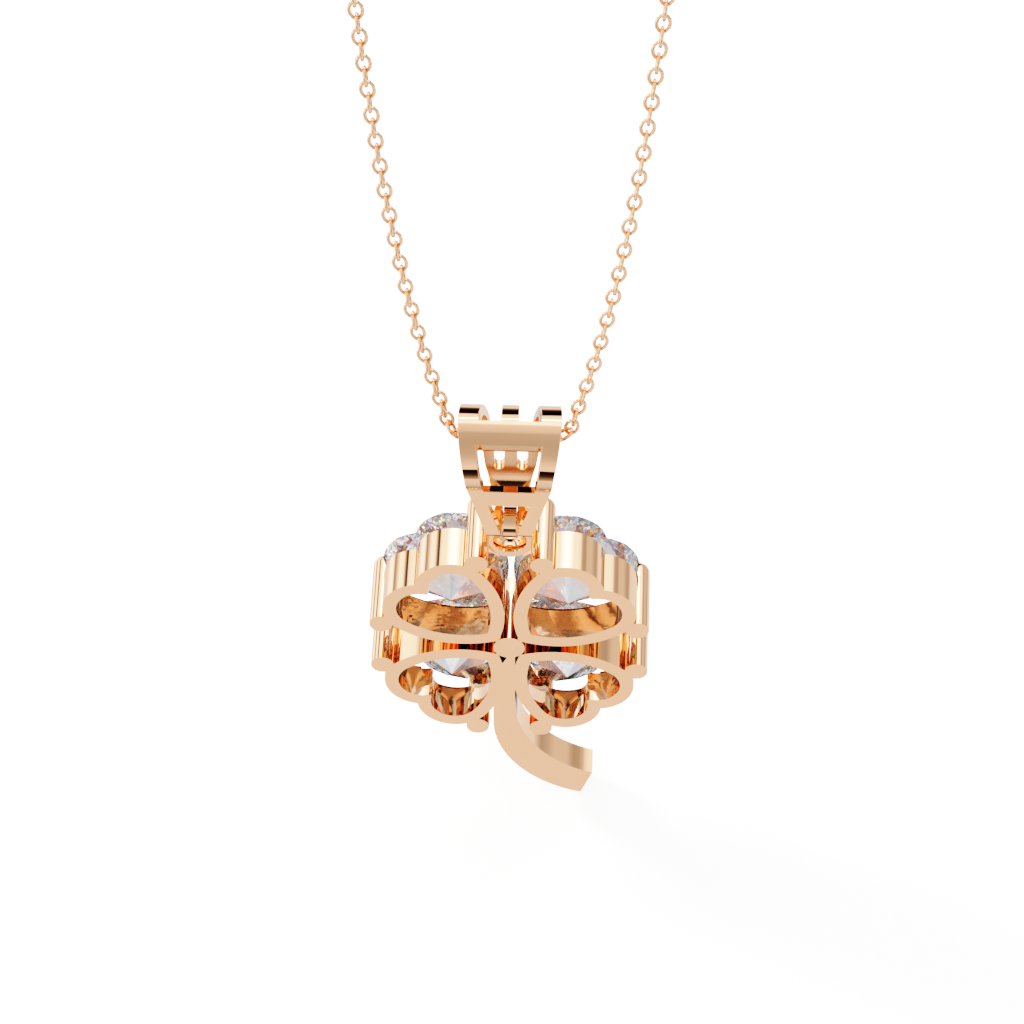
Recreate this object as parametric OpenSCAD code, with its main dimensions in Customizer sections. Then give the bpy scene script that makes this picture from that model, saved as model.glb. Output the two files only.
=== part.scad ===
// Diamond pendant: a four-leaf clover of heart stones, hung by a link and a strap bail on a fine chain.
// All measures are in mm. Z is up and the clover's front faces -Y.
// The pieces are drawn from the clover's middle, with its flat back on y = 0, and in_place() then moves
// them so that the origin is the middle of the clasp, at the top of the chain loop.

/* [Heart baskets] */
// Radius of the two round lobes of a heart opening
lobe_r = 1.362; // [1:0.001:2]
// Half the distance between the two lobe centres
lobe_half_gap = 1.303; // [1:0.001:2]
// Distance from the clover's middle to the line through the lobe centres
lobe_reach = 5.833; // [5:0.001:7]
// Radius of the long curved sides of a heart opening
side_r = 5.27; // [4:0.01:7]
// How far the centre of a side's curve lies past the heart's middle line
side_shift = 2.571; // [2:0.001:3.5]
// Distance from the clover's middle to the line through the side centres
side_reach = 6.354; // [5:0.001:7]
// Half the width of the blunt point between the lobes of an opening
cleft_half_w = 0.12; // [0.05:0.01:0.3]
// Distance from the clover's middle to that blunt point
cleft_reach = 6.5; // [6:0.01:7]
// Width of the metal rim round an opening
rim_w = 0.792; // [0.5:0.001:1.2]
// Depth of the heart walls, from the flat back to their front edge
wall_depth = 2.7; // [1.5:0.05:4]
// Depth at which a wall steps back to a thin edge round its stone
seat_depth = 2; // [1:0.05:3]
// How far that step lies outside the opening's edge
seat_grow = 0.7; // [0.3:0.01:0.75]

/* [Prongs] */
// Radius of the eight prongs round the clover
prong_r = 0.66; // [0.4:0.01:1]
// Distance of a prong from the nearer middle line of the clover
prong_near = 1.84; // [1:0.01:3]
// Distance of a prong from the farther middle line of the clover
prong_far = 7.3; // [6:0.01:8]
// Depth at which a prong's round tip begins
prong_depth = 4.25; // [3.5:0.05:5]
// Radius of the post in the middle of the clover
centre_r = 0.9; // [0.6:0.01:1.2]
// Depth of that post, from the flat back to its front end
centre_depth = 4.5; // [4:0.05:5]
// Depths between which the prongs and the post are notched for the stones' edges
notch_depth = [3.4, 4.15];
// Play between a stone's edge and the notches
notch_play = 0.03; // [0.01:0.01:0.1]

/* [Stem] */
// Thickness of the stem from back to front
stem_t = 1.73; // [1:0.01:2.5]
// Radius of the stem's outer curve
stem_outer_r = 6.79; // [5:0.01:9]
// Centre of the stem's outer curve, across and up
stem_outer_at = [-5.87, -6.79];
// Radius of the stem's inner curve
stem_inner_r = 6.62; // [5:0.01:9]
// Centre of the stem's inner curve, across and up
stem_inner_at = [-6.97, -5.18];

/* [Hanging ring and link] */
// Outer radius of the ring that is soldered between the two top prongs
ring_r = 1.35; // [1:0.01:2]
// Width of that ring's wall
ring_wall = 0.406; // [0.2:0.001:0.6]
// Thickness of that ring from back to front
ring_t = 1; // [0.6:0.05:1.5]
// Radius of the bulge across that ring's inner wall
ring_bulge_r = 1; // [0.6:0.1:3]
// Length of the trough that carries the ring's lower half on to the front
trough_len = 0.9; // [0.3:0.05:1.5]
// How far the trough's edges lie under the ring's middle
trough_drop = 0.3; // [0.1:0.05:0.6]
// Height of that ring's middle above the clover's middle
ring_z = 7.843; // [7:0.001:9]
// Inner radius of the loose link
link_hole_r = 0.68; // [0.5:0.01:1]
// Outer radius of the loose link
link_r = 1; // [0.8:0.01:1.4]
// Width of the loose link's flat band
link_w = 0.69; // [0.4:0.01:0.9]
// Height of the loose link's middle above the clover's middle
link_z = 9.1; // [8:0.01:10]

/* [Bail] */
// Radius of the bail's round top, outside
bail_r = 2.357; // [2:0.001:3]
// Thickness of the bail's strap
strap_t = 0.6; // [0.4:0.05:0.8]
// Height of the centre of the bail's round top above the clover's middle
bail_z = 15.03; // [13:0.01:17]
// Height of the bail's underside above the clover's middle
bail_foot_z = 9.48; // [9:0.01:11]
// Thickness of the bail's foot
foot_t = 0.47; // [0.3:0.01:0.7]
// Radius of the bend at the bail's foot
bend_r = 0.45; // [0.2:0.01:0.7]
// Angle below level at which the round top runs into the straight of the front strap
front_turn = 33; // [10:1:40]
// Length of that straight
front_run = 1.335; // [0.5:0.005:2.5]
// Radius of the hollow curve under that straight, outside
front_curve_r = 2.1; // [1:0.1:12]
// Slope, against upright, of the strap below that curve
front_low_turn = 19; // [10:1:30]
// Depth of the outer face of the upright part below that slope
front_low_y = -2.66; // [-3.2:0.01:-2.5]
// Half the width of the slot that the loose link passes through
slot_half_w = 0.41; // [0.4:0.005:0.7]
// Height to which that slot runs up the front strap
slot_top_z = 10.8; // [10.2:0.1:12]
// Radius of the cross rod that the loose link hangs on
rod_r = 0.2; // [0.1:0.01:0.3]
// Length of the cross rod
rod_len = 2; // [1.4:0.1:2.6]

/* [Stones] */
// How far a stone's edge reaches past the opening's edge
stone_grow = 0.9; // [0.3:0.01:1]
// Depth from the back to the rear edge of a stone's girdle
girdle_depth = 3.7; // [3:0.01:4.5]
// Thickness of a stone's girdle
girdle_t = 0.12; // [0.05:0.01:0.3]
// Depth from the back to a stone's flat table
table_depth = 4.7; // [4:0.01:5.5]
// Width of the table as a share of the stone's width
table_share = 0.58; // [0.4:0.01:0.75]
// Depth from the back to a stone's rear point
culet_depth = 0.65; // [0.3:0.01:1.5]
// Distance from the clover's middle to a stone's rear point
culet_reach = 4.73; // [4:0.01:5.5]

/* [Chain and clasp] */
// Width over the chain's links
chain_w = 0.88; // [0.6:0.01:1.5]
// Height of the clasp's middle above the clover's middle
loop_top_z = 208.3; // [150:0.1:300]
// Middle radius of the clasp's ring
clasp_r = 2.3; // [1.5:0.1:4]
// Thickness of the clasp's wire
clasp_wire = 0.9; // [0.5:0.05:1.5]
// Middle radius of the two small eyes at the clasp's sides
eye_r = 0.45; // [0.3:0.05:0.8]
// Thickness of the eyes' wire
eye_wire = 0.32; // [0.2:0.02:0.5]

/* [Hidden] */
$fn = 48;
// Depth of the plane in which the chain, bail, link and ring hang
hang_y = -1.8;
// Overlap that makes a cut run clear of a face
clear = 1;
// Steps along one curved side of a stone, and round one of its lobes
side_steps = 5;
lobe_steps = 6;
// Angle on a lobe at which it runs into the long side, measured from straight across
join_angle = -7.7;
// Top end of the stem under the clover's middle, and its tip, each across and up
stem_top = [[-0.35, -0.6], [0, -0.6], [0.4, -1.45], [0.915, -5.3], [0.915, -6.79]];
stem_tip = [[-4.25, -13.42], [-4.95, -11.45]];
// Half widths of the bail at a height: [half width, height]
bail_back_edge = [[1.305, 9], [1.305, 9.93], [2.28, 13.4], [2.41, 14.87], [2.52, 15.6],
                  [2.67, 16.5], [2.83, 17.39], [2.83, 18]];
bail_front_edge = [[0.8, 9], [0.8, 9.9], [1.18, 12.1], [1.3, 12.54], [1.41, 12.84],
                   [1.58, 13.67], [2.67, 16.5], [2.83, 17.39], [2.83, 18]];
// Half widths of the bail's foot at a depth: [half width, depth]
bail_foot_edge = [[1.305, 0.1], [1.305, -0.6], [0.8, -2.75], [0.8, -3.6]];
// Window in the back strap: half width at its foot and at its top, and the two heights
window_half_w = [1.41, 1.78];
window_z = [13.4, 16.84];
// Angle on the round top at which the window ends outside, and the steepness of the cut there
window_top_angle = 50;
window_top_cut = 73;
// Slope at which the window's sill falls towards the front
sill_fall = 13;
// V opening under the window, as half widths at heights
vee_half_w = [0.475, 1.155];
vee_z = [9.86, 12.25];
// Outline of one slot in the top and front straps, on its right side: [across, height]
slot_edge = [[0.34, 12.94], [0.94, 12.94], [0.94, 13.2], [1.26, 15.3], [1.7, 17.35], [1.7, 18],
             [0.48, 18], [0.48, 17.35], [0.34, 13.2]];
slot_foot = [0.64, 12.94];
slot_foot_r = 0.3;
// Depth at which the slots begin on the bail's top
slot_start_y = -1.656;
// The right half of the chain's route from the bail to the clasp: [across, height]
chain_half = [[0, 15.85], [1.4, 15.87], [2.4, 15.97], [2.95, 16.15], [3.26, 16.48], [3.39, 17],
              [3.56, 17.9], [3.95, 19.5], [4.7, 23], [5.7, 29], [6.8, 38.2], [8.1, 55], [9.4, 79],
              [10.6, 113], [11.7, 155], [12.4, 186], [12.6, 196], [11.7, 201.6], [9.3, 205.7],
              [6.2, 207.7], [3.9, 208.2]];
chain_sides = 8;

// Moves a piece drawn from the clover's middle into the frame of the clasp
module in_place()
    translate([0, -hang_y, -loop_top_z])
    children();

// Extrudes an outline, drawn across and up, from one depth to another
module between_depths(front, back)
    translate([0, back, 0])
    rotate([90, 0, 0])
    linear_extrude(back - front)
    children();

// Extrudes an outline, drawn in depth and up, to both sides of the middle plane
module across(width)
    translate([-width / 2, 0, 0])
    rotate([90, 0, 90])
    linear_extrude(width)
    children();

// Mirrors a piece of the quarter with positive X and Z into another quarter: side and up are +1 or -1
module mirror_into(side, up)
    mirror([side < 0 ? 1 : 0, 0, 0])
    mirror([0, 0, up < 0 ? 1 : 0])
    children();

// Turns a heart that is drawn upright into its quarter
module in_quarter(side, up)
    mirror_into(side, up)
    rotate([0, 45, 0])
    children();

// One heart outline, grown outwards by a width, with its point towards the clover's middle
module heart_outline(grow) {
    intersection() {
        translate([-side_shift, side_reach])
            circle(side_r + grow);
        translate([side_shift, side_reach])
            circle(side_r + grow);
        translate([-side_r, 0])
            square([2 * side_r, lobe_reach + (lobe_r + grow) * sin(join_angle)]);
    }
    for (side = [-1, 1])
        translate([side * lobe_half_gap, lobe_reach])
            circle(lobe_r + grow);
}

// The wall of one heart basket, with the step for its stone
module heart_wall()
    difference() {
        between_depths(-wall_depth, 0)
            heart_outline(rim_w);
        between_depths(-wall_depth - clear, clear) {
            heart_outline(0);
            translate([-cleft_half_w, lobe_reach])
                square([2 * cleft_half_w, cleft_reach - lobe_reach]);
        }
        between_depths(-wall_depth - clear, -seat_depth)
            heart_outline(seat_grow);
    }

// One prong with its round tip
module prong(at) {
    translate([at[0], 0, at[1]])
        rotate([90, 0, 0])
        cylinder(r = prong_r, h = prong_depth);
    translate([at[0], -prong_depth, at[1]])
        sphere(prong_r);
}

// The eight prongs and the middle post, notched so that their tips reach over the stones' edges
module prongs_and_post()
    difference() {
        union() {
            for (side = [-1, 1], up = [-1, 1])
                mirror_into(side, up) {
                    prong([prong_near, prong_far]);
                    prong([prong_far, prong_near]);
                }
            rotate([90, 0, 0])
                cylinder(r = centre_r, h = centre_depth);
        }
        for (side = [-1, 1], up = [-1, 1])
            in_quarter(side, up)
            between_depths(-notch_depth[1], -notch_depth[0])
            heart_outline(stone_grow + notch_play);
    }

// The curved stem below the clover
module stem()
    between_depths(-stem_t, 0)
    difference() {
        intersection() {
            union() {
                translate(stem_outer_at)
                    circle(stem_outer_r);
                polygon(concat(stem_top, [[stem_inner_at[0], stem_top[4][1]],
                                          [stem_inner_at[0], stem_inner_at[1]],
                                          [stem_top[0][0], stem_inner_at[1]]]));
            }
            polygon(concat(stem_top, [[clear, stem_tip[0][1] - clear], [stem_tip[0][0], stem_tip[0][1] - clear]],
                           stem_tip, [[stem_inner_at[0], stem_inner_at[1]], [stem_top[0][0], stem_inner_at[1]]]));
        }
        translate(stem_inner_at)
            circle(stem_inner_r);
    }

// The ring between the two top prongs, with a bulging inner wall, and the trough in front of its lower half
module top_ring() {
    hole_r = ring_r - ring_wall;
    ring_back_y = hang_y + ring_t / 2;
    bulge_at = hole_r + sqrt(ring_bulge_r * ring_bulge_r - ring_t * ring_t / 4);
    translate([0, ring_back_y, ring_z])
        rotate([90, 0, 0])
        rotate_extrude()
        intersection() {
            translate([bulge_at - ring_bulge_r, 0])
                square([ring_r - bulge_at + ring_bulge_r, ring_t]);
            translate([bulge_at, ring_t / 2])
                circle(ring_bulge_r);
        }
    between_depths(ring_back_y - ring_t - trough_len, hang_y)
        translate([0, ring_z])
        difference() {
            circle(ring_r);
            circle(hole_r);
            translate([-2 * ring_r, -trough_drop])
                square([4 * ring_r, 2 * ring_r]);
        }
}

// All the soldered metal of the clover
module clover_setting()
    color([0.93, 0.72, 0.56])
    in_place() {
        for (side = [-1, 1], up = [-1, 1])
            in_quarter(side, up)
            heart_wall();
        prongs_and_post();
        stem();
        top_ring();
    }

// Outline of the strap's side view, drawn in depth and up; inset is 0 outside and strap_t inside
module bail_side(inset, foot_inset) {
    foot_z = bail_foot_z + foot_inset;
    down_front = [cos(front_turn), sin(front_turn)];
    run = front_run * [sin(front_turn), -cos(front_turn)];
    touch = [hang_y, bail_z] - (bail_r - inset) * down_front;
    curve_r = front_curve_r + inset;
    curve_at = touch + run - curve_r * down_front;
    curve_end = curve_at + curve_r * [cos(front_low_turn), sin(front_low_turn)];
    low_y = front_low_y + inset;
    low_z = curve_end[1] - (low_y - curve_end[0]) / tan(front_low_turn);
    translate([hang_y, bail_z])
        circle(bail_r - inset);
    difference() {
        polygon([[hang_y, bail_z], [-inset, bail_z], [-inset, foot_z], [low_y, foot_z],
                 [low_y, low_z], curve_end, touch + run, touch]);
        translate(curve_at)
            circle(curve_r);
    }
}

// The strap as a closed loop of full width, with the rounded bend at the foot of its back
module bail_strap()
    across(2 * clear + 2 * bail_back_edge[6][0])
    difference() {
        bail_side(0, 0);
        bail_side(strap_t, foot_t);
        difference() {
            translate([-bend_r, bail_foot_z - clear])
                square([bend_r + clear, bend_r + clear]);
            translate([-bend_r, bail_foot_z + bend_r])
                circle(bend_r);
        }
    }

// A symmetric outline from a list of half widths
module both_sides(edge)
    polygon(concat(edge, [for (i = [len(edge) - 1:-1:0]) [-edge[i][0], edge[i][1]]]));

// The space that the strap's tapered front and back views leave for it
module bail_envelope() {
    foot_top = bail_foot_z + foot_t;
    between_depths(hang_y, clear)
        intersection() {
            both_sides(bail_back_edge);
            translate([-bail_r * 2, foot_top])
                square([bail_r * 4, bail_z]);
        }
    between_depths(hang_y - 2 * bail_r, hang_y)
        intersection() {
            both_sides(bail_front_edge);
            translate([-bail_r * 2, foot_top])
                square([bail_r * 4, bail_z]);
        }
    translate([0, 0, bail_foot_z - clear])
        linear_extrude(foot_t + clear)
        both_sides(bail_foot_edge);
}

// The window and the V opening in the back strap, and the link's slot through back, foot and front
module bail_back_openings() {
    flare = (window_half_w[1] - window_half_w[0]) / (window_z[1] - window_z[0]);
    top = [hang_y, bail_z] + bail_r * [cos(window_top_angle), sin(window_top_angle)];
    inner_y = top[0] - (top[1] - window_z[0]) / tan(window_top_cut);
    intersection() {
        between_depths(hang_y, 2 * clear)
            both_sides([[window_half_w[0] - flare * clear, window_z[0] - clear],
                        [window_half_w[1] + flare * clear, window_z[1] + clear]]);
        across(4 * bail_r)
            polygon([[inner_y, window_z[0]], [inner_y, window_z[0] + inner_y * tan(sill_fall)],
                     [clear, window_z[0] + clear * tan(sill_fall)],
                     [clear, top[1] + (clear - top[0]) * tan(window_top_cut)]]);
    }
    between_depths(hang_y, clear)
        both_sides([[vee_half_w[0], vee_z[0]], [vee_half_w[1], vee_z[1]]]);
    translate([-slot_half_w, hang_y - 2 * bail_r, bail_foot_z - clear])
        cube([2 * slot_half_w, 2 * bail_r - hang_y + clear, slot_top_z - bail_foot_z + clear]);
}

// The two slots over the top and down the front
module bail_front_slots()
    for (side = [-1, 1])
        mirror([side < 0 ? 1 : 0, 0, 0])
        between_depths(hang_y - 2 * bail_r, slot_start_y) {
            polygon(slot_edge);
            translate(slot_foot)
                circle(slot_foot_r);
        }

// The bail with the cross rod soldered into its foot
module bail()
    color([0.93, 0.72, 0.56])
    in_place() {
        difference() {
            intersection() {
                bail_strap();
                bail_envelope();
            }
            bail_back_openings();
            bail_front_slots();
        }
        translate([-rod_len / 2, hang_y, bail_foot_z])
            rotate([0, 90, 0])
            cylinder(r = rod_r, h = rod_len);
    }

// The loose flat link between the bail's rod and the clover's ring
module hanging_link()
    color([0.93, 0.72, 0.56])
    in_place()
    translate([-link_w / 2, hang_y, link_z])
    rotate([0, 90, 0])
    difference() {
        cylinder(r = link_r, h = link_w);
        translate([0, 0, -clear])
            cylinder(r = link_hole_r, h = link_w + 2 * clear);
    }

// Points of a stone's outline, drawn like heart_outline(): half of it, from the point to the cleft
function arc_point(centre, r, angle) = centre + r * [cos(angle), sin(angle)];
function half_heart(grow) =
    let (big = side_r + grow, small = lobe_r + grow)
    let (tip_angle = -acos(side_shift / big), cleft_angle = acos(-lobe_half_gap / small))
    concat([for (k = [0:side_steps])
                arc_point([-side_shift, side_reach], big,
                          tip_angle + (join_angle - tip_angle) * k / side_steps)],
           [for (k = [1:lobe_steps])
                arc_point([lobe_half_gap, lobe_reach], small,
                          join_angle + (cleft_angle - join_angle) * k / lobe_steps)]);
function whole_heart(grow) =
    let (half = half_heart(grow))
    concat(half, [for (i = [len(half) - 2:-1:1]) [-half[i][0], half[i][1]]]);

// A ring of the stone: its outline shrunk about the rear point's axis, at a depth
function stone_ring(share, depth) =
    [for (p = whole_heart(stone_grow)) [share * p[0], -depth, culet_reach + share * (p[1] - culet_reach)]];

// A heart brilliant with its table to the front and its point to the back
module heart_stone() {
    n = len(whole_heart(stone_grow));
    points = concat([[0, -culet_depth, culet_reach]], stone_ring(1, girdle_depth),
                    stone_ring(1, girdle_depth + girdle_t), stone_ring(table_share, table_depth),
                    [[0, -table_depth, culet_reach]]);
    function at(ring, i) = 1 + ring * n + i % n;
    pavilion = [for (i = [0:n - 1]) [0, at(0, i + 1), at(0, i)]];
    sides = [for (ring = [0, 1], i = [0:n - 1], half = [0, 1])
        half == 0 ? [at(ring, i), at(ring, i + 1), at(ring + 1, i + 1)]
                  : [at(ring, i), at(ring + 1, i + 1), at(ring + 1, i)]];
    table = [for (i = [0:n - 1]) [1 + 3 * n, at(2, i), at(2, i + 1)]];
    polyhedron(points, concat(pavilion, sides, table));
}

// One of the four stones in its quarter
module stone_in(side, up)
    color([0.93, 0.95, 1, 0.5])
    in_place()
    in_quarter(side, up)
    heart_stone();

// The chain's whole route, from the left end at the clasp down through the bail and up to the right end
route = concat([for (i = [len(chain_half) - 1:-1:1]) [-chain_half[i][0], chain_half[i][1]]], chain_half);
function knot(i) = route[max(0, min(len(route) - 1, i))];
function on_route(i, t) =
    0.5 * (2 * knot(i) + (knot(i + 1) - knot(i - 1)) * t
           + (2 * knot(i - 1) - 5 * knot(i) + 4 * knot(i + 1) - knot(i + 2)) * t * t
           + (3 * knot(i) - knot(i - 1) - 3 * knot(i + 1) + knot(i + 2)) * t * t * t);
function heading(i, t) =
    let (ahead = on_route(i, t + 0.01) - on_route(i, t - 0.01))
    ahead / norm(ahead);

// The chain as one plain tube of the links' width
module chain() {
    stations = concat([for (i = [0:len(route) - 2], t = [0, 0.5]) [i, t]], [[len(route) - 1, 0]]);
    last = len(stations) - 1;
    points = [for (s = stations, k = [0:chain_sides - 1])
        let (p = on_route(s[0], s[1]), d = heading(s[0], s[1]), a = 360 * (k + 0.5) / chain_sides)
        [p[0] - d[1] * cos(a) * chain_w / 2, hang_y + sin(a) * chain_w / 2, p[1] + d[0] * cos(a) * chain_w / 2]];
    function at(ring, k) = ring * chain_sides + k % chain_sides;
    skin = [for (ring = [0:last - 1], k = [0:chain_sides - 1], half = [0, 1])
        half == 0 ? [at(ring, k), at(ring, k + 1), at(ring + 1, k + 1)]
                  : [at(ring, k), at(ring + 1, k + 1), at(ring + 1, k)]];
    start = [for (k = [chain_sides - 1:-1:0]) at(0, k)];
    finish = [for (k = [0:chain_sides - 1]) at(last, k)];
    color([0.93, 0.72, 0.56])
        in_place()
        polyhedron(points, concat(skin, [start, finish]));
}

// The clasp as one closed ring with an eye at each side for the chain's ends
module clasp()
    color([0.93, 0.72, 0.56])
    rotate([90, 0, 0]) {
        rotate_extrude()
            translate([clasp_r, 0])
            circle(clasp_wire / 2);
        for (side = [-1, 1])
            translate([side * (clasp_r + clasp_wire / 2 + eye_r - eye_wire / 4), 0, 0])
            rotate_extrude()
            translate([eye_r, 0])
            circle(eye_wire / 2);
    }

chain();
clasp();
bail();
hanging_link();  // link
clover_setting();
stone_in(-1, 1);  // stone_upper_left
stone_in(1, 1);  // stone_upper_right
stone_in(-1, -1);  // stone_lower_left
stone_in(1, -1);  // stone_lower_right
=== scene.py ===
import bmesh
import bpy
import numpy as np
from mathutils import Matrix, Vector


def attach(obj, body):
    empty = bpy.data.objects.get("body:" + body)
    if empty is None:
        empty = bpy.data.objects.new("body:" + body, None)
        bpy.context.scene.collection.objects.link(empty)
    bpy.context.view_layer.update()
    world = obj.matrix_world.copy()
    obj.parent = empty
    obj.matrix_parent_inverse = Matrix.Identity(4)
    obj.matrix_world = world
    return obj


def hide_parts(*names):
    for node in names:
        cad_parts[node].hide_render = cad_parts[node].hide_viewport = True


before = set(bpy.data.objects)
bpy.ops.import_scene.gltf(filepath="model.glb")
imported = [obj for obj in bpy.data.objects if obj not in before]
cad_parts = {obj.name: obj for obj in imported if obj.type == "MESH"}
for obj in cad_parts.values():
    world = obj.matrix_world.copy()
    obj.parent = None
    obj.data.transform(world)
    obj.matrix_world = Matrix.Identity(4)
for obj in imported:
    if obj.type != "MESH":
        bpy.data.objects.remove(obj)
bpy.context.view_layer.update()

scene = bpy.context.scene

# ---- Camera ----
# It looks at the pendant's back from above, along the line of sight of the photograph. Measures are in mm
# from the clover's middle, and HANG moves them to the clasp at the top of the loop.
MM = 0.001
HANG = np.array([0.0, 1.8, -208.3])
sight_turn, sight_height = np.radians([182.0498, 48.719])
sight_distance, sight_across, sight_up = 222.534, -0.1695, -7.7755
sensor_w, focal_px, picture_px = 36.0, 3889.03, 1024
along = np.array([-np.sin(sight_turn) * np.cos(sight_height), np.cos(sight_turn) * np.cos(sight_height),
                  -np.sin(sight_height)])
rightwards = np.array([np.cos(sight_turn), np.sin(sight_turn), 0.0])
upwards = np.cross(rightwards, along)
eye_point = HANG - (sight_across * rightwards + sight_up * upwards + sight_distance * along)
camera_data = bpy.data.cameras.new("back_view")
camera_data.sensor_width = sensor_w
camera_data.lens = sensor_w * focal_px / picture_px
camera_data.clip_start = 0.01
camera_data.clip_end = 20.0
camera = bpy.data.objects.new("back_view", camera_data)
turn = np.eye(4)
turn[:3, 0], turn[:3, 1], turn[:3, 2] = rightwards, upwards, -along
turn[:3, 3] = eye_point * MM
camera.matrix_world = Matrix(turn.tolist())
scene.collection.objects.link(camera)
scene.camera = camera


# ---- Chain ----
# A fine cable chain of oval links in round rose-gold wire, each soldered shut and turned a quarter
# against the next. It lies through the bail and its two end links hold the eyes of the clasp.
def new_piece(name, points, faces, smooth):
    """One mesh from an array of points in mm from the clasp and a list of faces."""
    mesh = bpy.data.meshes.new(name)
    mesh.from_pydata((np.asarray(points) * MM).tolist(), [], faces)
    mesh.polygons.foreach_set("use_smooth", np.full(len(mesh.polygons), smooth))
    mesh.update()
    piece = bpy.data.objects.new(name, mesh)
    scene.collection.objects.link(piece)
    return piece


def through_knots(knots, steps):
    """Points on the smooth curve through the knots: on each span a cubic whose slope at a knot is half the
    way between its two neighbours."""
    padded = np.pad(knots, ((1, 1), (0, 0)), mode="edge")
    before, start, end, after = padded[:-3], padded[1:-2], padded[2:-1], padded[3:]
    t = np.linspace(0, 1, steps, endpoint=False)[:, None, None]
    points = 0.5 * (2 * start + (end - before) * t + (2 * before - 5 * start + 4 * end - after) * t ** 2
                    + (3 * start - before - 3 * end + after) * t ** 3)
    return np.concatenate([points.transpose(1, 0, 2).reshape(-1, 2), knots[-1:]])


def run_on(end, inner, length):
    """The point that carries a route on past its end, straight away from the point inside it."""
    return end + (end - inner) / np.linalg.norm(end - inner) * length


def oval_links(centres, headings, widths, half_long, half_wide, wire_r, around, wire_sides):
    """Closed oval rings of round wire. The wire's middle runs on an ellipse, half_long along the heading and
    half_wide along the width; round it, a circle of wire_r in the plane of the ellipse's outward normal and
    the ring's axis."""
    u = np.linspace(0, 2 * np.pi, around, endpoint=False)[:, None]
    v = np.linspace(0, 2 * np.pi, wire_sides, endpoint=False)[None, :]
    axes = np.cross(headings, widths)
    out_long, out_wide = half_wide * np.cos(u), half_long * np.sin(u)
    norm = np.hypot(out_long, out_wide)
    a = half_long * np.cos(u) + wire_r * np.cos(v) * out_long / norm
    b = half_wide * np.sin(u) + wire_r * np.cos(v) * out_wide / norm
    c = wire_r * np.sin(v) + 0 * u
    return (centres[:, None, None, :] + a[None, :, :, None] * headings[:, None, None, :]
            + b[None, :, :, None] * widths[:, None, None, :] + c[None, :, :, None] * axes[:, None, None, :])


def closed_grid_faces(rings, around, sides):
    """Quads of a number of tubes, each closed both ways round, with their faces outwards."""
    ring, i, k = np.meshgrid(np.arange(rings), np.arange(around), np.arange(sides), indexing="ij")

    def at(i, k):
        return (ring * around + i % around) * sides + k % sides

    return np.stack([at(i, k), at(i + 1, k), at(i + 1, k + 1), at(i, k + 1)], -1).reshape(-1, 4).tolist()


# The right half of the chain's route from the bail to the clasp, as in the solid: across and up
chain_half = np.array([[0, 15.85], [1.4, 15.87], [2.4, 15.97], [2.95, 16.15], [3.26, 16.48], [3.39, 17],
                       [3.56, 17.9], [3.95, 19.5], [4.7, 23], [5.7, 29], [6.8, 38.2], [8.1, 55], [9.4, 79],
                       [10.6, 113], [11.7, 155], [12.4, 186], [12.6, 196], [11.7, 201.6], [9.3, 205.7],
                       [6.2, 207.7], [3.9, 208.2]])
steps_between_knots = 32
both_halves = np.concatenate([chain_half[::-1] * [-1, 1], chain_half[1:]])
between_ends = through_knots(both_halves, steps_between_knots)
# Beyond both ends the route runs straight on for the end links
end_run = 0.8
route = np.concatenate([[run_on(between_ends[0], between_ends[1], end_run)], between_ends,
                        [run_on(between_ends[-1], between_ends[-2], end_run)]])
run = np.concatenate([[0], np.cumsum(np.hypot(*np.diff(route, axis=0).T))]) - end_run
# Where chosen links lie along the route, and so how close the links between them follow each other
link_count = 461
link_number = [-0.5, 191, 223, 237, 269, 460.5]
link_run = [-0.5, 166.64, 194.49, 205.86, 233.70, 400.44]
joint_run = np.interp(np.arange(link_count + 1) - 0.5, link_number, link_run)
joints = np.stack([np.interp(joint_run, run, route[:, 0]), np.interp(joint_run, run, route[:, 1])], -1)
middles = (joints[1:] + joints[:-1]) / 2
leads = np.diff(joints, axis=0)
leads /= np.linalg.norm(leads, axis=1)[:, None]
zero = np.zeros(link_count)
headings = np.stack([leads[:, 0], zero, leads[:, 1]], -1)
sideways = np.stack([-leads[:, 1], zero, leads[:, 0]], -1)
edge_on = (np.arange(link_count) % 2 == 0)[:, None]
widths = np.where(edge_on, [0.0, 1.0, 0.0], sideways)
centres = np.stack([middles[:, 0], zero, middles[:, 1] + HANG[2]], -1)
link_half_long, link_half_wide, wire_r = 0.54, 0.34, 0.1
ring_steps, wire_sides = 12, 6
link_points = oval_links(centres, headings, widths, link_half_long, link_half_wide, wire_r,
                         ring_steps, wire_sides)
chain_links = new_piece("chain_links", link_points.reshape(-1, 3),
                        closed_grid_faces(link_count, ring_steps, wire_sides), True)
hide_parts("chain")
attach(chain_links, "necklace")


def feed(tree, socket, value):
    """Links another node's output to a socket, or sets the socket to a plain number, vector or colour."""
    if isinstance(value, bpy.types.NodeSocket):
        tree.links.new(value, socket)
    else:
        socket.default_value = value


def shader_node(tree, kind, values, **properties):
    """A new node with its properties set, and then its inputs fed from a table of their names or numbers."""
    node = tree.nodes.new("ShaderNode" + kind)
    for name, value in properties.items():
        setattr(node, name, value)
    for socket, value in values.items():
        feed(tree, node.inputs[socket], value)
    return node


ROSE = (0.95, 0.546, 0.338)
ROSE_DEEPER = (ROSE[0] * 0.985, ROSE[1] * 0.965, ROSE[2] * 0.95)


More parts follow.
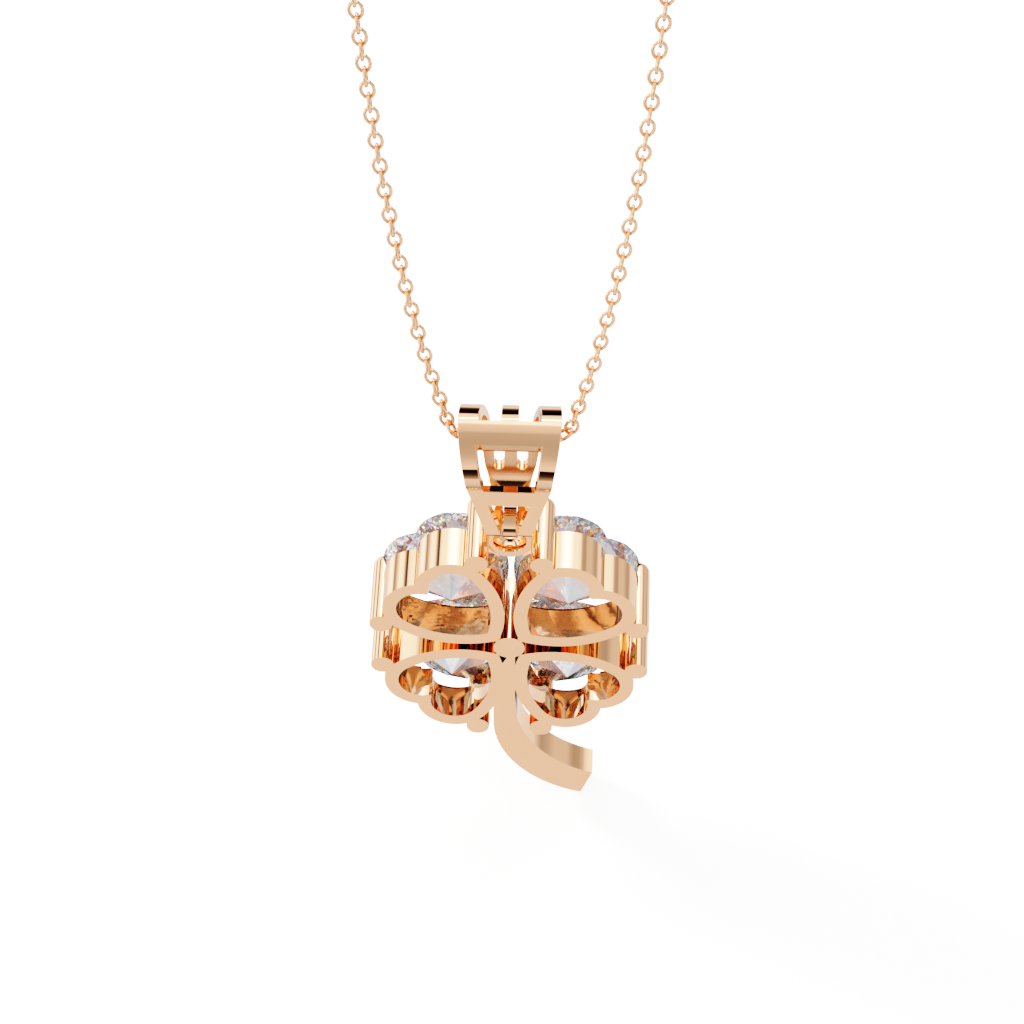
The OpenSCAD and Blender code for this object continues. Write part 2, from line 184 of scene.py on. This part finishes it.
def rose_gold(name, polish, mark_depth, mark_length):
    """Polished rose gold. Slow noise shifts the colour and the polish a little, and stretched fine noise
    gives the last wheel marks as bump. Noise is in the object's own metres."""
    material = bpy.data.materials.new(name)
    material.use_nodes = True
    tree = material.node_tree
    where = shader_node(tree, "TexCoord", {}).outputs["Object"]
    cloud = shader_node(tree, "TexNoise", {"Scale": 420.0, "Detail": 3.0, "Vector": where}).outputs["Fac"]
    cloud_low, cloud_high = 0.3, 0.7
    colour = shader_node(tree, "ValToRGB", {"Fac": cloud})
    low, high = colour.color_ramp.elements
    low.position, high.position = cloud_low, cloud_high
    low.color = (*ROSE_DEEPER, 1)
    high.color = (*ROSE, 1)
    shine = shader_node(tree, "MapRange", {"From Min": cloud_low, "From Max": cloud_high,
                                           "To Min": polish, "To Max": polish * 1.8, "Value": cloud})
    stretch = shader_node(tree, "Mapping", {"Scale": (1.0, 0.35, mark_length), "Vector": where})
    marks = shader_node(tree, "TexNoise", {"Scale": 5200.0, "Detail": 2.0,
                                           "Vector": stretch.outputs["Vector"]})
    bump = shader_node(tree, "Bump", {"Strength": 1.0, "Distance": mark_depth,
                                      "Height": marks.outputs["Fac"]})
    metal = tree.nodes["Principled BSDF"]
    feed(tree, metal.inputs["Metallic"], 1.0)
    feed(tree, metal.inputs["Base Color"], colour.outputs["Color"])
    feed(tree, metal.inputs["Roughness"], shine.outputs["Result"])
    feed(tree, metal.inputs["Normal"], bump.outputs["Normal"])
    return material


chain_links.data.materials.append(rose_gold("rose_gold_wire", 0.07, 2e-7, 1.0))

# ---- Clasp ----
# The closed ring with an eye at each side, cast in rose gold and polished; the chain's end links hold
# the eyes. It hides behind the neck when the pendant is worn.
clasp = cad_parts["clasp"]
clasp.data.materials.clear()
clasp.data.materials.append(rose_gold("rose_gold_clasp", 0.06, 3e-7, 0.5))

# ---- Bail ----
# An openwork strap of rose gold, bent into a closed loop with windows cut through it, and a cross rod
# soldered into its foot for the loose link. It is the solid's own skin, joined up, and a Bevel rounds its
# sharp edges over by a hair, as polishing does.
same_point, flat_angle, sharp_angle = 1e-7, np.radians(0.5), np.radians(25)
bevel_width, bevel_angle = 0.03 * MM, np.radians(35)
form = bmesh.new()
form.from_mesh(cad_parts["bail"].data)
form.transform(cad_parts["bail"].matrix_world)
bmesh.ops.remove_doubles(form, verts=form.verts, dist=same_point)
bmesh.ops.dissolve_limit(form, angle_limit=flat_angle, verts=form.verts, edges=form.edges)
skin = bpy.data.meshes.new("bail_strap")
form.to_mesh(skin)
form.free()
if "custom_normal" in skin.attributes:
    skin.attributes.remove(skin.attributes["custom_normal"])
skin.polygons.foreach_set("use_smooth", np.full(len(skin.polygons), True))
skin.set_sharp_from_angle(angle=sharp_angle)
bail_strap = bpy.data.objects.new("bail_strap", skin)
scene.collection.objects.link(bail_strap)
fine_edge = bail_strap.modifiers.new("fine_edge", "BEVEL")
fine_edge.width = bevel_width
fine_edge.segments = 2
fine_edge.limit_method = "ANGLE"
fine_edge.angle_limit = bevel_angle
fine_edge.use_clamp_overlap = False
fine_edge.harden_normals = True
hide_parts("bail")
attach(bail_strap, "bail")
bail_strap.data.materials.clear()
bail_gold = rose_gold("rose_gold_bail", 0.03, 1e-7, 0.2)
bail_strap.data.materials.append(bail_gold)
# The inner face of the front strap, which lies in front of the chain and faces the back, is satin
inside_from, inside_full = -0.0002, -0.0005
facing_from, facing_full, satin_roughness = 0.2, 0.4, 0.24
bail_tree = bail_gold.node_tree
place = shader_node(bail_tree, "TexCoord", {})
place_parts = shader_node(bail_tree, "SeparateXYZ", {"Vector": place.outputs["Object"]})
facing_parts = shader_node(bail_tree, "SeparateXYZ", {"Vector": place.outputs["Normal"]})
inside = shader_node(bail_tree, "MapRange", {"From Min": inside_from, "From Max": inside_full,
                                             "Value": place_parts.outputs["Y"]})
satin = shader_node(bail_tree, "MapRange", {"From Min": facing_from, "From Max": facing_full,
                                            "To Max": satin_roughness, "Value": facing_parts.outputs["Y"]})
added = shader_node(bail_tree, "Math", {0: inside.outputs["Result"], 1: satin.outputs["Result"]},
                    operation="MULTIPLY")
bail_roughness = bail_tree.nodes["Principled BSDF"].inputs["Roughness"]
rougher = shader_node(bail_tree, "Math", {0: bail_roughness.links[0].from_socket, 1: added.outputs["Value"]},
                      operation="ADD")
feed(bail_tree, bail_roughness, rougher.outputs["Value"])

# ---- Link ----
# The loose flat link, a short length of rose-gold tube, polished. It hangs on the bail's rod and
# holds the clover's ring.
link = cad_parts["link"]
link.data.materials.clear()
link.data.materials.append(rose_gold("rose_gold_link", 0.03, 1e-7, 0.2))

# ---- Clover setting ----
# Four heart baskets, eight prongs, the middle post, the stem and the top ring, cast and soldered
# into one piece of rose gold and polished to a mirror.
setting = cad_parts["clover_setting"]
setting.data.materials.clear()
setting.data.materials.append(rose_gold("rose_gold_setting", 0.03, 1e-7, 0.25))

# ---- Stones ----
# Four heart brilliants of diamond, cut with eight main facets below and above the girdle and their
# halves and stars between, each held by the prongs with its point to the back. The outline's arcs and the
# depths from the clover's flat back are the solid's.
stone_grow = 0.9
side_r, side_shift, side_reach = 5.27 + stone_grow, 2.571, 6.354
lobe_r, lobe_gap, lobe_reach = 1.362 + stone_grow, 1.303, 5.833
# At this angle the side's arc passes into the lobe's
join = np.radians(-7.7)
culet_depth, girdle_back, girdle_front, table_depth = 0.65, 3.7, 3.82, 4.7
low_corner_depth, high_corner_depth = girdle_back - 0.62, girdle_front + 0.42
table_share = 0.58
stone_middle = np.array([0.0, 4.73])
mains = 8
fine = 4


def heart_edge(share):
    """Points on the right half of the stone's outline, and the outline's heading there, from its point
    (share 0) to its cleft (share 1), by length: first an arc about the left side's centre, then the arc of
    the lobe."""
    tip, cleft = -np.arccos(side_shift / side_r), np.arccos(-lobe_gap / lobe_r)
    side_run, lobe_run = side_r * (join - tip), lobe_r * (cleft - join)
    length = np.asarray(share) * (side_run + lobe_run)
    on_side = tip + np.minimum(length, side_run) / side_r
    on_lobe = join + np.maximum(length - side_run, 0) / lobe_r
    first = (length <= side_run)[..., None]
    side = np.stack([side_r * np.cos(on_side) - side_shift, side_r * np.sin(on_side) + side_reach], -1)
    lobe = np.stack([lobe_r * np.cos(on_lobe) + lobe_gap, lobe_r * np.sin(on_lobe) + lobe_reach], -1)
    heading = np.where(first, np.stack([-np.sin(on_side), np.cos(on_side)], -1),
                       np.stack([-np.sin(on_lobe), np.cos(on_lobe)], -1))
    return np.where(first, side, lobe), heading


# Where the half facets part along the right half of the outline, each in a number of fine steps
half_shares = np.array([0, 0.14, 0.29, 0.42, 0.55, 0.665, 0.78, 0.89, 1.0])
fine_shares = np.interp(np.arange(mains * fine + 1) / fine, np.arange(mains + 1), half_shares)
edge, heading = heart_edge(fine_shares)
mirror = np.array([-1.0, 1.0])
heart_outline = np.concatenate([edge, edge[-2:0:-1] * mirror])
turns = np.concatenate([heading, heading[-2:0:-1] * mirror * -1])
# At the point and in the cleft the outline's heading is taken as straight across
turns[0] = [1, 0]
turns[mains * fine] = [-1, 0]
rim_count = len(heart_outline)
main_at = np.arange(mains) * 2 * fine


def at_depth(points, depth):
    """Points (across, along) with a depth as their third number."""
    return np.concatenate([points, np.full(points.shape[:-1] + (1,), depth)], -1)


def kite_corners(apexes, apex_depth, girdle_depth, corner_depth):
    """The corners between the main facets, where two neighbouring main planes meet at a depth. A main plane
    runs through its apex and a girdle point, parallel to the outline there, so that its normal is the
    outline's heading x (apex - girdle point)."""
    girdle = at_depth(heart_outline[main_at], girdle_depth)
    normals = np.cross(at_depth(turns[main_at], 0.0), at_depth(apexes, apex_depth) - girdle)
    corners = []
    for k in range(mains):
        after = (k + 1) % mains
        planes = np.array([normals[k], normals[after], [0, 0, 1.0]])
        corners.append(np.linalg.solve(planes, [normals[k] @ girdle[k], normals[after] @ girdle[after],
                                                corner_depth]))
    return np.array(corners)


table_corners = stone_middle + table_share * (heart_outline[main_at] - stone_middle)
culets = np.repeat(stone_middle[None], mains, 0)
low_corners = kite_corners(culets, culet_depth, girdle_back, low_corner_depth)
high_corners = kite_corners(table_corners, table_depth, girdle_front, high_corner_depth)

# Numbers of the stone's first points in each ring: kite corners below, rims, kite corners above, table
low0 = 1
rim0 = low0 + mains
rim1 = rim0 + rim_count
high0 = rim1 + rim_count
table0 = high0 + mains


def scalloped_rim(corners, level):
    """The girdle's edge at a level. A half facet is the plane through its kite corner and two girdle points,
    so between these points the edge leaves the level in a shallow scallop."""
    depth = np.full(rim_count, level)
    for half_facet in range(2 * mains):
        here = (half_facet * fine + np.arange(fine + 1)) % rim_count
        corner = corners[half_facet // 2]
        a, b = (np.append(heart_outline[here[k]], level) for k in (0, -1))
        normal = np.cross(a - corner, b - corner)
        lies = corner[2] - ((heart_outline[here] - corner[:2]) @ normal[:2]) / normal[2]
        depth[here[1:-1]] = lies[1:-1]
    return np.column_stack([heart_outline, depth])


def stone_faces():
    """Flat faces of the cut stone. For each main facet: itself, its two halves, and the same and a star
    above the girdle; then the girdle and the table."""
    faces = []
    for k in range(mains):
        g = int(main_at[k])
        after = [(g + j) % rim_count for j in range(fine + 1)]
        before = [(g - j) % rim_count for j in range(fine, -1, -1)]
        last = (k - 1) % mains
        faces.append([0, low0 + k, rim0 + g, low0 + last])
        faces.append([low0 + k] + [rim0 + j for j in after[::-1]])
        faces.append([low0 + last] + [rim0 + j for j in before[::-1]])
        faces.append([table0 + k, high0 + last, rim1 + g, high0 + k])
        faces.append([high0 + k] + [rim1 + j for j in after])
        faces.append([high0 + last] + [rim1 + j for j in before])
        faces.append([table0 + k, high0 + k, table0 + (k + 1) % mains])
    for j in range(rim_count):
        i = (j + 1) % rim_count
        faces.append([rim0 + j, rim0 + i, rim1 + i, rim1 + j])
    faces.append([table0 + k for k in range(mains - 1, -1, -1)])
    return faces


stone_points = np.concatenate([
    [[*stone_middle, culet_depth]], low_corners, scalloped_rim(low_corners, girdle_back),
    scalloped_rim(high_corners, girdle_front), high_corners, at_depth(table_corners, table_depth)])
stone_cut = stone_faces()


def diamond(name):
    """Cut diamond: clear glass mixed with a mirror and with painted light. The mirror is in three colours,
    each tilted a little differently within every small cell of a Voronoi pattern, which gives the fire. The
    painted light is an emission, pale with faint tints which wider cells shift, that stands in for light the
    facets would throw back. Attributes of the facets and their corners say: spread, how much the cells tilt;
    sparkle, how much they differ in colour; returned, how much of what isn't painted light is mirror;
    painted_glow, how much is painted light; shade, how bright both are, a painted brightness per facet."""
    material = bpy.data.materials.new(name)
    material.use_nodes = True
    tree = material.node_tree

    def attribute(label):
        return shader_node(tree, "Attribute", {}, attribute_name=label).outputs["Fac"]

    def vector_math(operation, values):
        return shader_node(tree, "VectorMath", values, operation=operation).outputs["Vector"]

    def colour_mix(share, first, second):
        return shader_node(tree, "Mix", {0: share, 6: first, 7: second}, data_type="RGBA").outputs[2]

    small_cells, wide_cells = 6500.0, 2600.0
    colour_kept, warmth = 0.3, (1.12, 1.0, 0.92)
    tint_range, tint_base = (0.24, 0.2, 0.24), (0.86, 0.88, 0.9)
    where = shader_node(tree, "TexCoord", {}).outputs["Object"]
    shade = attribute("shade")
    # The small cells: how they tilt the mirror, and their colour, deepened, partly greyed and warmed
    cells = shader_node(tree, "TexVoronoi", {"Scale": small_cells, "Vector": where}).outputs["Color"]
    centred = vector_math("SUBTRACT", {0: cells, 1: (0.5, 0.5, 0.5)})
    tilt = vector_math("SCALE", {0: centred, "Scale": attribute("spread")})
    deeper = vector_math("MULTIPLY", {0: cells, 1: cells})
    grey = shader_node(tree, "RGBToBW", {"Color": deeper}).outputs["Val"]
    warm = vector_math("MULTIPLY", {0: colour_mix(colour_kept, grey, deeper), 1: warmth})
    cell_colour = colour_mix(attribute("sparkle"), (1, 1, 1, 1), warm)
    lit_colour = vector_math("SCALE", {0: cell_colour, "Scale": shade})
    surface = shader_node(tree, "NewGeometry", {}).outputs["Normal"]
    mirrors = []
    for colour, amount in (((1, 0, 0), 0.9), ((0, 1, 0), 1.0), ((0, 0, 1), 1.1)):
        share = vector_math("SCALE", {0: tilt, "Scale": amount})
        bent = vector_math("NORMALIZE", {0: vector_math("ADD", {0: surface, 1: share})})
        dimmed = vector_math("MULTIPLY", {0: lit_colour, 1: colour})
        mirrors.append(shader_node(tree, "BsdfGlossy", {"Roughness": 0.12, "Color": dimmed, "Normal": bent}))
    red, green, blue = (mirror.outputs["BSDF"] for mirror in mirrors)
    red_green = shader_node(tree, "AddShader", {0: red, 1: green}).outputs["Shader"]
    all_three = shader_node(tree, "AddShader", {0: red_green, 1: blue})
    clear = tree.nodes["Principled BSDF"]
    feed(tree, clear.inputs["Roughness"], 0.0)
    feed(tree, clear.inputs["IOR"], 2.42)
    feed(tree, clear.inputs["Transmission Weight"], 1.0)
    blend = shader_node(tree, "MixShader", {"Fac": attribute("returned"), 1: clear.outputs["BSDF"],
                                            2: all_three.outputs["Shader"]})
    # The wide cells tint the painted light's emission
    tint_cells = shader_node(tree, "TexVoronoi", {"Scale": wide_cells, "Smoothness": 0.6, "Vector": where},
                             feature="SMOOTH_F1")
    pale = vector_math("MULTIPLY_ADD", {0: tint_cells.outputs["Color"], 1: tint_range, 2: tint_base})
    painted_glow_colour = vector_math("SCALE", {0: pale, "Scale": shade})
    # The painted light: an emission that makes the stone shine though it is no lamp
    painted_glow_emission = shader_node(tree, "Emission", {"Strength": 2.3, "Color": painted_glow_colour})
    all_light = shader_node(tree, "MixShader", {"Fac": attribute("painted_glow"), 1: blend.outputs["Shader"],
                                                2: painted_glow_emission.outputs["Emission"]})
    feed(tree, tree.nodes["Material Output"].inputs["Surface"], all_light.outputs["Shader"])
    return material


# Per kind of facet: spread, sparkle, returned, share of painted light, and how bright the facet's mirror and
# painted light are
KINDS = {"pavilion_main": (0.05, 0.1, 0.8, 0.62, 0.87), "pavilion_half": (0.6, 0.75, 0.85, 0.12, 1.15),
         "girdle": (0.5, 0.8, 0.7, 0.0, 0.87), "crown": (1.0, 0.92, 0.9, 0.0, 1.2),
         "table": (0.1, 0.3, 0.2, 0.0, 1.0)}
around_a_main = ["pavilion_main", "pavilion_half", "pavilion_half", "crown", "crown", "crown", "crown"]
facet_kinds = around_a_main * mains + ["girdle"] * rim_count + ["table"]
facet_spread, facet_sparkle, facet_return, facet_painted_glow, facet_bright = np.array(
    [KINDS[kind] for kind in facet_kinds]).T
facet_shade = facet_bright * (0.85 + 0.3 * np.random.default_rng(7).random(len(facet_kinds)))
# At the rim the painted light fades to a share of itself, and the cells differ at least by so much
rim_painted_glow_share, rim_least_spread, rim_least_sparkle = 0.3, 0.6, 0.75
# The painted light's share on a level facet, how fast it grows as the facet looks up, and its least share;
# facets that face up are given the most painted light
level_share, upward_gain, least_share = 0.5, 1.6, 0.04
cut_diamond = diamond("cut_diamond")
for node, side, up in (("stone_upper_left", -1, 1), ("stone_upper_right", 1, 1),
                       ("stone_lower_left", -1, -1), ("stone_lower_right", 1, -1)):
    across, reach, depth = stone_points.T
    placed = np.stack([side * (reach + across) / np.sqrt(2), -depth, up * (reach - across) / np.sqrt(2)], -1)
    cut = stone_cut if side * up > 0 else [face[::-1] for face in stone_cut]
    stone = new_piece("heart_" + node, placed + HANG, cut, False)
    facing = np.zeros(3 * len(cut))
    stone.data.polygons.foreach_get("normal", facing)
    # Painted light by facing: the more a facet looks up, the brighter its emission
    painted_light_from_above = np.clip(level_share + upward_gain * facing[2::3], least_share, 1)
    corner_point = np.zeros(len(stone.data.loops), dtype=np.int32)
    stone.data.loops.foreach_get("vertex_index", corner_point)
    corner_face = np.repeat(np.arange(len(cut)), [len(face) for face in cut])
    at_rim = (corner_point >= rim0) & (corner_point < high0)
    painted_glow = (facet_painted_glow * painted_light_from_above)[corner_face] * np.where(at_rim, rim_painted_glow_share, 1.0)
    spread = np.where(at_rim, np.maximum(facet_spread, rim_least_spread)[corner_face],
                      facet_spread[corner_face])
    sparkle = np.where(at_rim, np.maximum(facet_sparkle, rim_least_sparkle)[corner_face],
                       facet_sparkle[corner_face])
    for name, domain, values in (("returned", "FACE", facet_return), ("shade", "FACE", facet_shade),
                                 ("painted_glow", "CORNER", painted_glow), ("spread", "CORNER", spread),
                                 ("sparkle", "CORNER", sparkle)):
        stone.data.attributes.new(name, "FLOAT", domain).data.foreach_set("value", values)
    stone.data.materials.append(cut_diamond)
    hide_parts(node)
    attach(stone, "clover")

# ---- Floor ----
# A plain white floor just under the stem's tip, matt and wide enough for every view. It gives off light of
# its own, so that it shows white throughout. The metal and the stones don't mirror it.
stem_tip_z, floor_gap = -13.42, 0.15
floor_z = (stem_tip_z + HANG[2] - floor_gap) * MM
floor_half = 6.0
floor_mesh = bpy.data.meshes.new("floor")
floor_mesh.from_pydata([(-floor_half, -floor_half, floor_z), (floor_half, -floor_half, floor_z),
                        (floor_half, floor_half, floor_z), (-floor_half, floor_half, floor_z)],
                       [], [(0, 1, 2, 3)])
floor = bpy.data.objects.new("floor", floor_mesh)
scene.collection.objects.link(floor)
white_floor = bpy.data.materials.new("white_floor")
white_floor.use_nodes = True
chalk = white_floor.node_tree.nodes["Principled BSDF"]
chalk.inputs["Base Color"].default_value = (0.8, 0.8, 0.8, 1)
chalk.inputs["Roughness"].default_value = 1.0
chalk.inputs["Specular IOR Level"].default_value = 0.0
chalk.inputs["Emission Color"].default_value = (1, 1, 1, 1)
chalk.inputs["Emission Strength"].default_value = 3.2
floor.data.materials.append(white_floor)
floor.visible_glossy = False
floor.visible_transmission = False

# ---- Studio light ----
# A white tent with soft boxes, given as brightness by direction: one table for the band from the horizon
# behind the pendant over the top to the one in front, and one for the two sides. A weak lamp gives the
# faint shadow.
world = bpy.data.worlds.new("studio_tent")
world.use_nodes = True
scene.world = world
sky = world.node_tree
# The ramps hold each brightness as a share of this one
full = 20.0


def by_angle(angle, table):
    """A colour ramp over -180 to 180 degrees that holds each brightness of the table, linear between."""
    share = shader_node(sky, "MapRange", {"From Min": -np.pi, "From Max": np.pi, "Value": angle})
    ramp = shader_node(sky, "ValToRGB", {"Fac": share.outputs["Result"]})
    ramp.color_ramp.interpolation = "LINEAR"
    stops = ramp.color_ramp.elements
    while len(stops) < len(table):
        stops.new(0.5)
    for stop, (degrees, level) in zip(stops, sorted(table)):
        stop.position = (degrees + 180) / 360
        stop.color = (level / full, level / full, level / full, 1)
    return ramp.outputs["Color"]


def maths(operation, *values):
    """One Math node on sockets or plain numbers."""
    return shader_node(sky, "Math", dict(enumerate(values)), operation=operation).outputs["Value"]


def eased(value, start, end, level):
    """Nothing up to start and level from end on, with a smooth rise between."""
    rise = shader_node(sky, "MapRange", {"From Min": start, "From Max": end, "To Max": level,
                                         "Value": value}, interpolation_type="SMOOTHSTEP")
    return rise.outputs["Result"]


direction = shader_node(sky, "TexCoord", {})
parts = shader_node(sky, "SeparateXYZ", {"Vector": direction.outputs["Generated"]})
east, north, above = parts.outputs["X"], parts.outputs["Y"], parts.outputs["Z"]
# Degrees from the horizon behind the pendant (0) over the top (90) to the horizon in front of it (180)
band = by_angle(maths("ARCTAN2", above, north), [
    (-180, 1.2), (-176, 3.0), (-164, 2.4), (-138, 2.4), (-130, 0.1), (-105, 0.1), (-97, 0.8), (-80, 1.84),
    (-72, 2.34), (-47.9, 2.65), (-47.2, 1.42), (-40, 0.75), (-32, 0.25), (-24, 0.1), (-16, 0.05),
    (-14.5, 2.8), (-4, 2.8), (20, 1.8), (30, 1.6), (60, 1.42), (86, 1.6), (93, 2.3), (108, 2.7),
    (112.5, 3.2), (115, 5.6), (121, 5.6), (129, 4.4), (147, 3.5), (151, 0.05), (167, 0.05), (175, 0.35),
    (180, 1.2)])
# Degrees from the top, positive towards +X
side_angle = maths("ARCTAN2", east, above)
flank = by_angle(side_angle, [
    (-180, 2.6), (-120, 2.8), (-114, 2.94), (-105, 1.8), (-100, 1.2), (-90, 1.5), (-80, 2.1), (-65, 2.1),
    (-57, 1.2), (-51, 1.3), (-46, 1.9), (-42, 4.0), (-30, 4.8), (0, 4.4), (30, 4.8), (40, 4.0), (43.5, 0.3),
    (46.5, 0.3), (51, 1.5), (57, 4.7), (70, 5.3), (79, 2.6), (90, 0.9), (98, 5.0), (105, 5.6), (113, 5.1),
    (123, 3.3), (134, 2.6), (180, 2.6)])
# The side table takes over as a direction leaves the middle plane
flank_from, flank_full = 0.12, 0.36
to_flank = eased(maths("ABSOLUTE", east), flank_from, flank_full, 1.0)
both = shader_node(sky, "Mix", {0: to_flank, 6: band, 7: flank}, data_type="RGBA")

# A slim strip light high in front, which gives the walls their white streaks
strip_north, strip_half, strip_core = -0.655, 0.045, 0.02
strip_reach, strip_level = np.radians(24), 9.0
off_strip = maths("ABSOLUTE", maths("ADD", north, -strip_north))
strip = maths("MULTIPLY", eased(off_strip, strip_half, strip_core, 1.0),
              eased(maths("ABSOLUTE", side_angle), strip_reach, 0.0, strip_level / full))
lit = shader_node(sky, "VectorMath", {0: both.outputs[2], 1: strip}, operation="ADD")
background = sky.nodes["Background"]
feed(sky, background.inputs["Strength"], full)
feed(sky, background.inputs["Color"], lit.outputs["Vector"])

lamp_data = bpy.data.lights.new("weak_lamp", "SUN")
lamp_data.energy = 7.0
lamp_data.angle = np.radians(12)
lamp = bpy.data.objects.new("weak_lamp", lamp_data)
lamp_from = Vector((0.875, -0.48, 0.46))
lamp.rotation_mode = "QUATERNION"
lamp.rotation_quaternion = lamp_from.to_track_quat("Z", "Y")
lamp.visible_glossy = False
lamp.visible_transmission = False
scene.collection.objects.link(lamp)

# The picture's contrast: a curve with a soft foot and shoulder, from scene brightness to shown brightness
scene.view_settings.view_transform = "Standard"
scene.view_settings.look = "None"
scene.view_settings.use_curve_mapping = True
tone = scene.view_settings.curve_mapping
brightest = 6.5
tone.use_clip = False
tone.extend = "HORIZONTAL"
tone.white_level = (brightest, brightest, brightest)
master = tone.curves[3]
shown = [(0.03, 0.0009), (0.069, 0.0048), (0.12, 0.0145), (0.2, 0.04), (0.3, 0.088), (0.4, 0.152),
         (0.51, 0.216), (0.69, 0.305), (0.88, 0.386), (1.1, 0.47), (1.41, 0.565), (1.9, 0.69), (2.47, 0.8),
         (3.35, 0.885), (4.6, 0.94), (6.1, 1.0)]
master.points[-1].location = (1, 1)
for scene_level, shown_level in shown:
    master.points.new(scene_level / brightest, shown_level)
for point in master.points:
    point.handle_type = "VECTOR"
tone.update()
